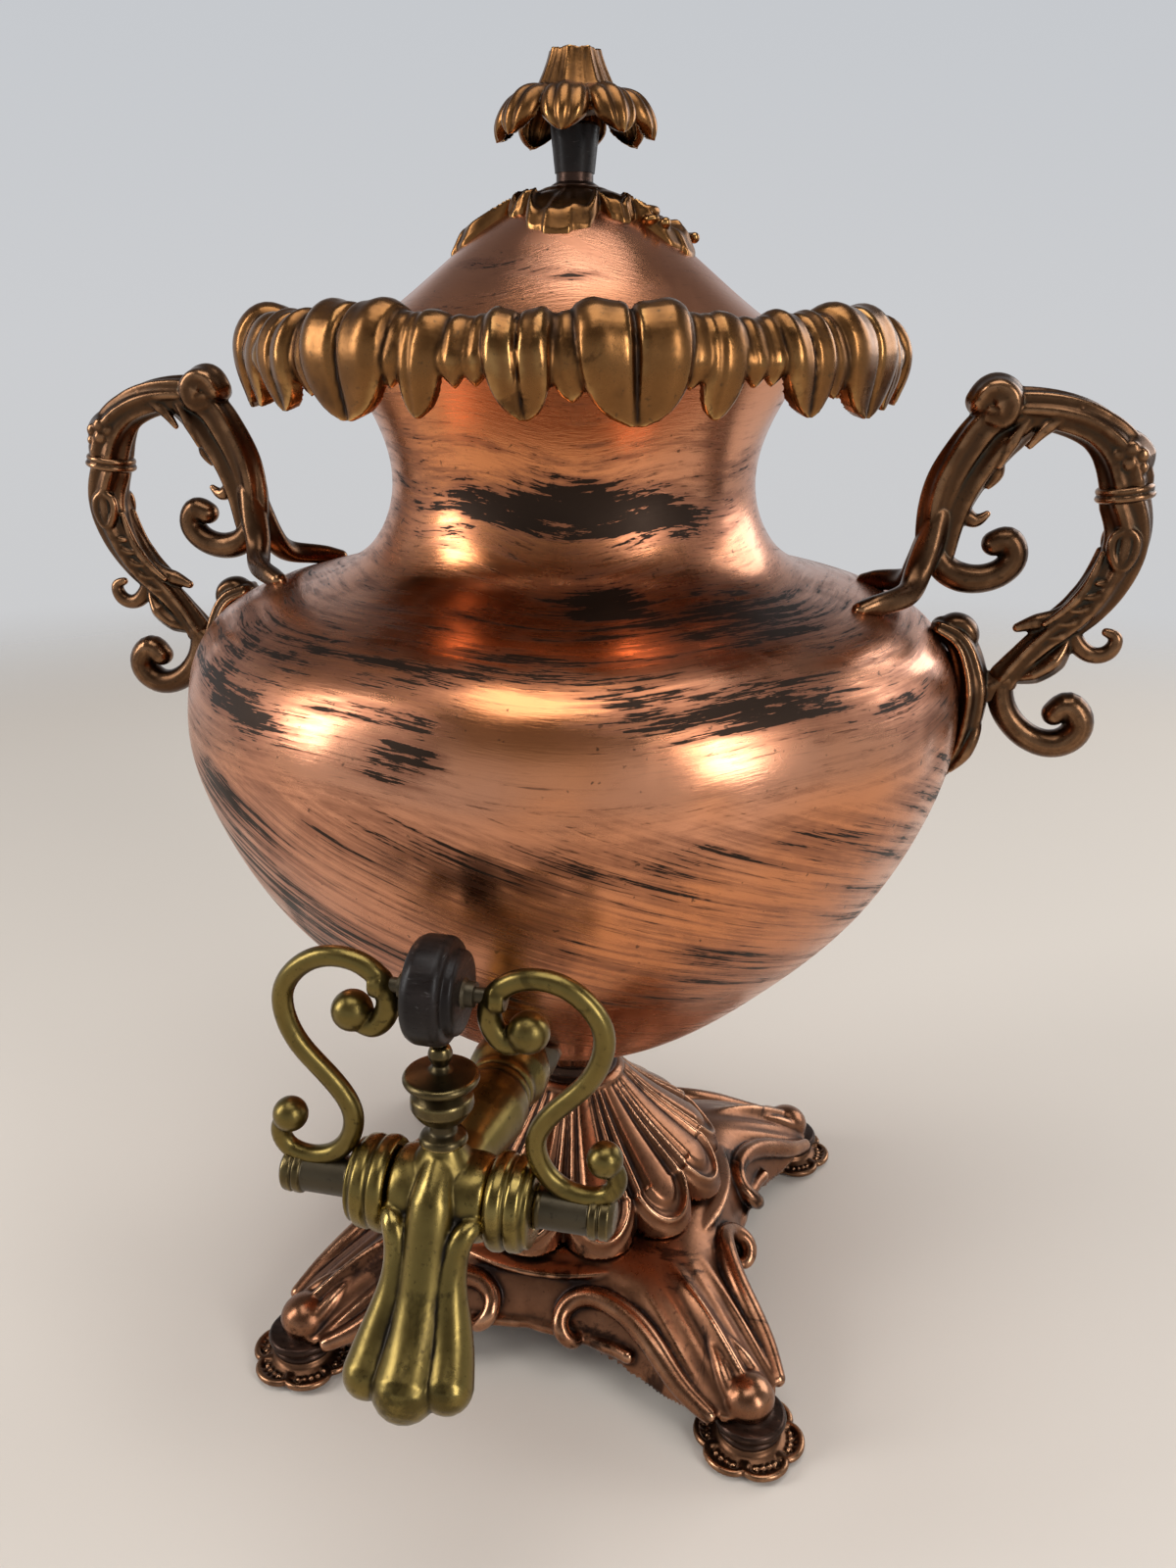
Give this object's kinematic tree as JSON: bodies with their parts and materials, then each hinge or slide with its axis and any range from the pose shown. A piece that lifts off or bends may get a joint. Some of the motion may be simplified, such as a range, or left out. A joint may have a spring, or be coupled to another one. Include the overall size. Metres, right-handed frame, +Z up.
{
  "type": "samovar",
  "caption": "Footed copper tea urn with scrolled side handles, leaf collar, lift-off domed lid, loose heating iron and a lever-worked plug tap.",
  "frame": {"origin": "on the urn's axis, in the plane that the feet stand on", "axes": "+Z up along the urn's axis, -Y out of the tap's side, handles on +X and -X"},
  "size_m": [0.3562, 0.3203, 0.4281],
  "materials": {
    "aged_copper": "aged copper, satin, with brushed remains of dark lacquer",
    "antique_brass": "antique cast brass, bright on the ridges and dark in the grooves",
    "tap_brass": "antique yellow brass, worn satin",
    "dark_brass": "dark bronzed cast brass, worn on the ridges",
    "blackened_copper": "blackened turned copper alloy, semi-gloss",
    "tinned_copper": "dull tinned metal",
    "iron": "dark iron, matt",
    "ebonised_wood": "turned ebonised wood, semi-gloss, scuffed",
    "leather_washer": "oiled leather"
  },
  "bodies": {
    "urn": {"vessel_body": "aged_copper", "rim_seat": "tinned_copper", "rim_collar": "antique_brass", "heater_socket": "aged_copper", "tap_strainer": "tinned_copper", "tap_lock_nut": "antique_brass", "tap_gasket": "leather_washer", "tap_flange": "tap_brass", "tap_body": "tap_brass", "gland_left": "tap_brass", "gland_right": "tap_brass", "tap_finial": "tap_brass", "pedestal_neck": "blackened_copper", "calyx": "aged_copper", "lobed_dome": "aged_copper", "bolt_seal": "leather_washer", "pedestal_bolt": "iron", "bolt_nut": "iron", "base_strap": "iron", "base_plate": "aged_copper", "foot_rosette_1": "antique_brass", "foot_rosette_2": "antique_brass", "foot_rosette_3": "antique_brass", "foot_rosette_4": "antique_brass", "foot_collar_1": "blackened_copper", "foot_collar_2": "blackened_copper", "foot_collar_3": "blackened_copper", "foot_collar_4": "blackened_copper", "foot_screws": "iron", "handle_upper_left": "dark_brass", "handle_upper_right": "dark_brass", "handle_ring_left": "dark_brass", "handle_ring_right": "dark_brass", "handle_lower_left": "dark_brass", "handle_lower_right": "dark_brass", "handle_bracket_left": "dark_brass", "handle_bracket_right": "dark_brass", "bracket_studs": "iron", "bracket_nuts": "iron"},
    "tap_lever": {"tap_plug": "tap_brass", "end_cap_left": "tap_brass", "end_cap_right": "tap_brass", "lever_left": "tap_brass", "lever_right": "tap_brass", "lever_grip": "ebonised_wood", "grip_rod": "tap_brass", "grip_cups": "tap_brass"},
    "lid": {"lid_dome": "aged_copper", "lid_bezel": "tinned_copper", "lid_leaf_cap": "antique_brass", "stem_ring": "blackened_copper", "finial_stem": "ebonised_wood", "finial_rod": "iron", "lid_nut": "iron", "finial_flower": "antique_brass"},
    "heater": {"heater_iron": "iron", "heater_cover": "iron", "heater_ring": "iron"}
  },
  "joints": [
    {"name": "tap_turn", "type": "hinge", "parent": "urn", "child": "tap_lever", "pos_m": [0, -0.1438, 0.134], "axis": [1, 0, 0], "range_deg": [0, 90]},
    {"name": "lid_lift", "type": "slide", "parent": "urn", "child": "lid", "axis": [0, 0, 1], "range_m": [0, 0.34]},
    {"name": "heater_lift", "type": "slide", "parent": "urn", "child": "heater", "axis": [0, 0, 1], "range_m": [0, 0.17]}
  ],
  "couplings": [
    {"joint": "heater_lift", "follows": "lid_lift", "ratio": 0.5}
  ]
}
